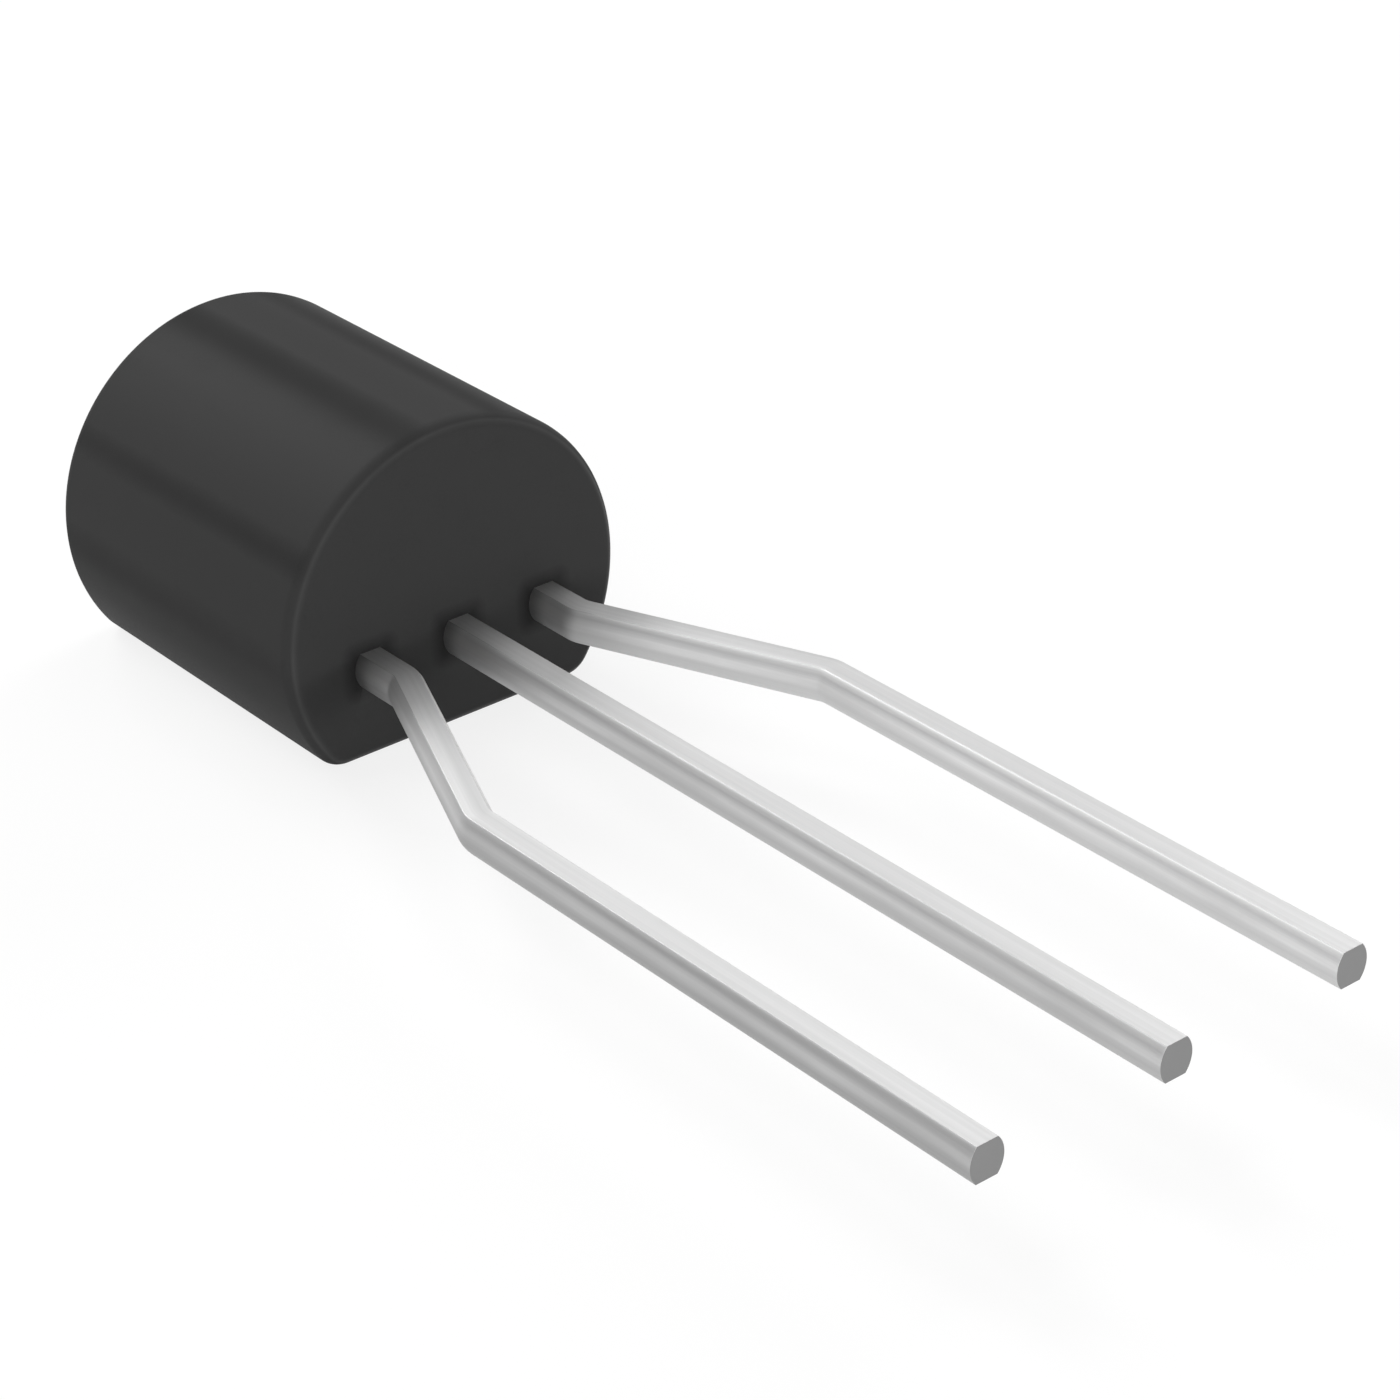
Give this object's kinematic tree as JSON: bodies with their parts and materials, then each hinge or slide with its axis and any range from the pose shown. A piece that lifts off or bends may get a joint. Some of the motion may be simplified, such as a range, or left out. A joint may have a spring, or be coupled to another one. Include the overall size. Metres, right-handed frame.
{
  "type": "to-92 transistor",
  "caption": "Small-signal transistor: D-section moulded body with a flat side and parallel legs that are formed outwards to a wider spacing.",
  "frame": {"origin": "centre of the flat side of the moulded body, on which the part lies", "axes": "+Z out of the round side, away from the flat; -Y along the legs, from the body to their tips; X across the row of legs"},
  "size_m": [0.0056, 0.0167, 0.004],
  "materials": {
    "moulding_compound": "satin",
    "tin_plated_lead": "satin",
    "silicon": "polished",
    "gold_wire": "polished"
  },
  "bodies": {
    "root": {"moulded_body": "moulding_compound", "collector_leg": "tin_plated_lead", "emitter_leg": "tin_plated_lead", "base_leg": "tin_plated_lead", "die": "silicon", "emitter_wire": "gold_wire", "base_wire": "gold_wire"}
  },
  "joints": []
}
